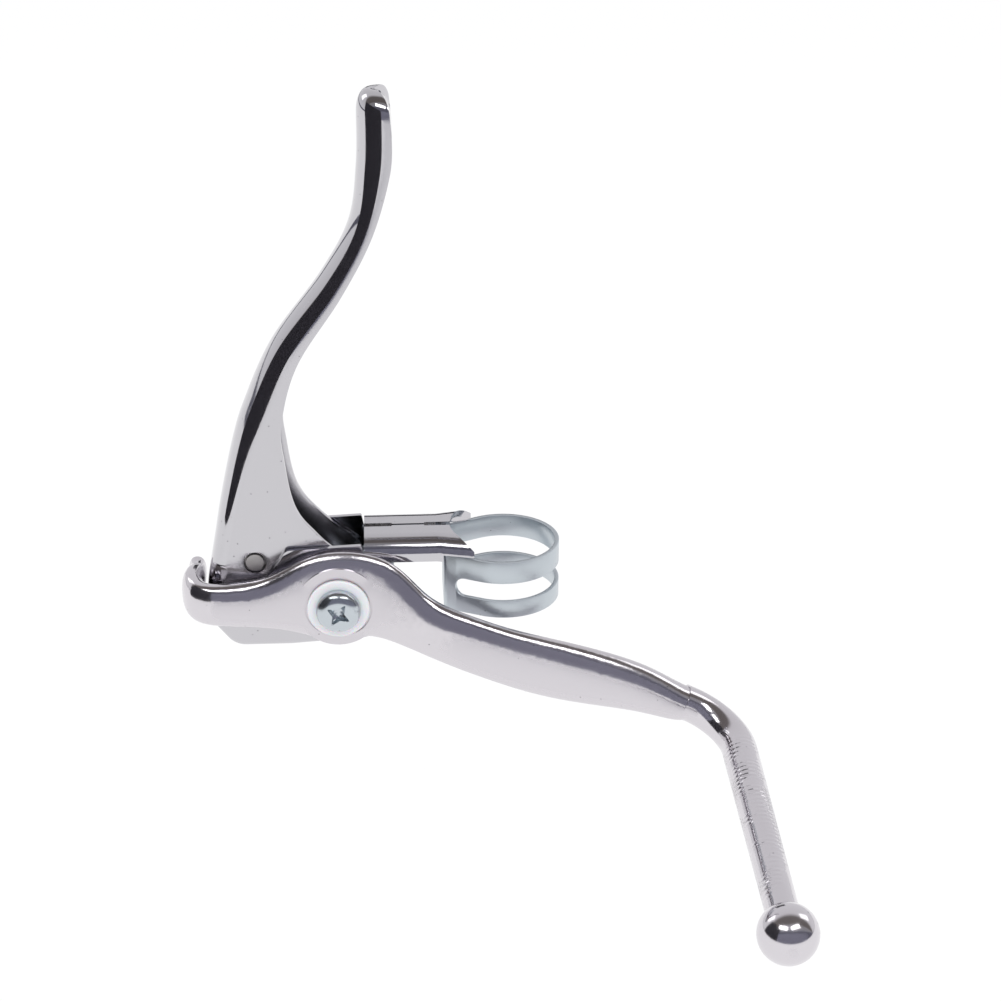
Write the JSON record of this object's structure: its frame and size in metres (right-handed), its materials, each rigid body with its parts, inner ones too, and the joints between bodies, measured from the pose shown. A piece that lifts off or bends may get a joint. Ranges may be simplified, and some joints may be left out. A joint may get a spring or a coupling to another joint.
{
  "type": "bicycle brake lever",
  "caption": "Bicycle brake lever: chromed channel blade and body on a handlebar band clamp, with a cast extension lever that ends in a ball.",
  "frame": {"origin": "on the handlebar's axis, half way up the clamp band", "axes": "+Z along the handlebar's axis towards the blade's tip, +X from the body's nose towards the handlebar, +Y away from the extension lever"},
  "size_m": [0.125, 0.1053, 0.148],
  "materials": {
    "chrome_steel": "mirror",
    "lever_chrome": "mirror",
    "polished_aluminium": "polished",
    "zinc_steel": "satin",
    "zinc_strap": "satin",
    "satin_steel": "satin",
    "nylon": "satin"
  },
  "bodies": {
    "body": {"body_bracket": "chrome_steel", "pivot_sleeve": "zinc_steel", "pivot_screw": "zinc_steel", "inner_washer": "nylon", "outer_washer": "nylon", "clamp_band": "zinc_strap", "clamp_bolt": "zinc_steel", "clamp_washer": "zinc_steel", "clamp_nut": "zinc_steel", "cable_stop": "zinc_steel"},
    "main_lever": {"main_lever": "lever_chrome"},
    "extension_lever": {"extension_lever": "polished_aluminium"},
    "cable_anchor": {"cable_anchor": "satin_steel"}
  },
  "joints": [
    {"name": "lever_pivot", "type": "hinge", "parent": "body", "child": "main_lever", "pos_m": [-0.0356, 0, -0.0022], "axis": [0, 1, 0], "range_deg": [0, 25]},
    {"name": "extension_pivot", "type": "hinge", "parent": "body", "child": "extension_lever", "pos_m": [-0.0356, 0, -0.0022], "axis": [0, 1, 0], "range_deg": [0, 25]},
    {"name": "anchor_swivel", "type": "hinge", "parent": "main_lever", "child": "cable_anchor", "pos_m": [-0.0532, 0, 0.0054], "axis": [0, 1, 0], "range_deg": [-30, 30]}
  ],
  "couplings": [
    {"joint": "extension_pivot", "follows": "lever_pivot", "ratio": 1}
  ]
}
